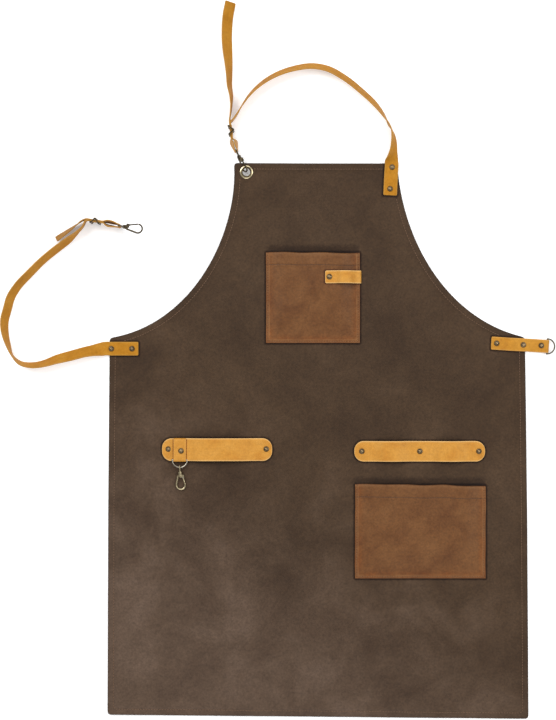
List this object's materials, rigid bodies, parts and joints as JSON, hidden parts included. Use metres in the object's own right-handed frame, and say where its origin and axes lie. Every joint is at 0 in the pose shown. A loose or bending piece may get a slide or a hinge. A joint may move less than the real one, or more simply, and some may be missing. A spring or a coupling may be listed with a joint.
{
  "type": "butcher apron",
  "caption": "Bib apron in leather with a chest pocket, a hip pocket, towel straps, and riveted neck and waist straps that clip on with brass snap hooks.",
  "frame": {"origin": "centre of the panel's underside, on the surface that it lies on", "axes": "+Z out of the front face, +Y from the bottom edge towards the bib, +X to the right as seen from the front"},
  "size_m": [0.8028, 1.0395, 0.0266],
  "materials": {
    "panel_leather": "waxed dark brown",
    "pocket_leather": "waxed mid brown",
    "strap_leather": "tan, cut edges",
    "thread": "waxed thread",
    "antique_brass": "antique",
    "steel": "plain"
  },
  "bodies": {
    "apron": {"apron_panel": "panel_leather", "panel_turned_edge": "panel_leather", "panel_hem_stitch": "thread", "chest_pocket": "pocket_leather", "chest_pocket_edge_stitch": "thread", "chest_pocket_hem_stitch": "thread", "lower_pocket": "pocket_leather", "lower_pocket_edge_stitch": "thread", "lower_pocket_hem_stitch": "thread", "pen_loop": "strap_leather", "towel_strap_left": "strap_leather", "towel_strap_right": "strap_leather", "key_hanger_loop": "strap_leather", "side_tab": "strap_leather", "neck_strap_tab": "strap_leather", "waist_strap_tab": "strap_leather", "eyelet": "antique_brass", "eyelet_washer": "antique_brass", "neck_rivet_caps": "antique_brass", "neck_rivet_posts": "antique_brass", "waist_rivet_caps": "antique_brass", "waist_rivet_posts": "antique_brass", "side_rivet_caps": "antique_brass", "side_rivet_posts": "antique_brass", "towel_left_rivet_caps": "antique_brass", "towel_left_rivet_posts": "antique_brass", "towel_right_rivet_caps": "antique_brass", "towel_right_rivet_posts": "antique_brass", "key_loop_rivet_cap": "antique_brass", "key_loop_rivet_post": "antique_brass", "pen_loop_rivet_cap": "antique_brass", "pen_loop_rivet_post": "antique_brass"},
    "neck_strap": {"neck_strap": "strap_leather", "neck_hook_eye": "antique_brass"},
    "neck_slider": {"neck_slider": "antique_brass"},
    "neck_hook": {"neck_hook_body": "antique_brass", "neck_gate_pin": "steel", "neck_gate_spring": "steel"},
    "neck_gate": {"neck_hook_gate": "antique_brass"},
    "waist_strap": {"waist_strap": "strap_leather"},
    "waist_slider": {"waist_slider": "antique_brass"},
    "waist_eye": {"waist_hook_eye": "antique_brass"},
    "waist_hook": {"waist_hook_body": "antique_brass", "waist_gate_pin": "steel", "waist_gate_spring": "steel"},
    "waist_gate": {"waist_hook_gate": "antique_brass"},
    "key_d_ring": {"key_d_ring": "antique_brass"},
    "key_eye": {"key_hook_eye": "antique_brass"},
    "key_hook": {"key_hook_body": "antique_brass", "key_gate_pin": "steel", "key_gate_spring": "steel"},
    "key_gate": {"key_hook_gate": "antique_brass"},
    "side_d_ring": {"side_d_ring": "antique_brass"}
  },
  "joints": [
    {"name": "neck_strap_lift", "type": "hinge", "parent": "apron", "child": "neck_strap", "pos_m": [-0.104, 0.388, 0.008], "axis": [0.9973, 0.0706, -0.0212], "range_deg": [0, 4.5]},
    {"name": "neck_slider_slide", "type": "slide", "parent": "neck_strap", "child": "neck_slider", "axis": [0.1045, -0.9945, 0], "range_m": [-0.004, 0.004]},
    {"name": "neck_hook_swivel", "type": "hinge", "parent": "neck_strap", "child": "neck_hook", "pos_m": [-0.1187, 0.4187, 0.0125], "axis": [0.4272, -0.8877, -0.1719], "range_deg": [0, 15]},
    {"name": "neck_gate_hinge", "type": "hinge", "parent": "neck_hook", "child": "neck_gate", "pos_m": [-0.10969, 0.40389, 0.01247], "axis": [0.7431, 0.453, -0.4926], "range_deg": [0, 5.5], "stiffness_Nm_per_rad": 0.02},
    {"name": "waist_strap_fold", "type": "hinge", "parent": "apron", "child": "waist_strap", "pos_m": [-0.30635, 0.1324, 0.0075], "axis": [0.3342, 0.9425, 0], "range_deg": [0, 150]},
    {"name": "waist_slider_slide", "type": "slide", "parent": "waist_strap", "child": "waist_slider", "axis": [0.9903, -0.1392, 0], "range_m": [-0.004, 0.004]},
    {"name": "waist_hook_swing", "type": "hinge", "parent": "waist_strap", "child": "waist_eye", "pos_m": [-0.2875, 0.3095, 0.0134], "axis": [0, 0, 1], "range_deg": [-20, 20]},
    {"name": "waist_hook_swivel", "type": "hinge", "parent": "waist_eye", "child": "waist_hook", "pos_m": [-0.2875, 0.3095, 0.0134], "axis": [0.9903, -0.1392, 0], "continuous": true},
    {"name": "waist_gate_hinge", "type": "hinge", "parent": "waist_hook", "child": "waist_gate", "pos_m": [-0.27255, 0.31093, 0.0134], "axis": [0, 0, -1], "range_deg": [0, 25], "stiffness_Nm_per_rad": 0.02},
    {"name": "key_d_ring_flip", "type": "hinge", "parent": "apron", "child": "key_d_ring", "pos_m": [-0.2002, -0.0285, 0.0052], "axis": [-1, 0, 0], "range_deg": [0, 80]},
    {"name": "key_hook_swing", "type": "hinge", "parent": "key_d_ring", "child": "key_eye", "pos_m": [-0.2002, -0.0394, 0.0052], "axis": [-1, 0, 0], "range_deg": [0, 35]},
    {"name": "key_hook_swivel", "type": "hinge", "parent": "key_eye", "child": "key_hook", "pos_m": [-0.2002, -0.04055, 0.00605], "axis": [0.0556, -0.9943, -0.0906], "range_deg": [-7, 7]},
    {"name": "key_gate_hinge", "type": "hinge", "parent": "key_hook", "child": "key_gate", "pos_m": [-0.19551, -0.05385, 0.00482], "axis": [-0.0051, 0.0905, -0.9959], "range_deg": [0, 25], "stiffness_Nm_per_rad": 0.02},
    {"name": "side_d_ring_flip", "type": "hinge", "parent": "apron", "child": "side_d_ring", "pos_m": [0.33176, 0.1358, 0.00335], "axis": [-0.0593, -0.9982, 0], "range_deg": [0, 140]}
  ]
}
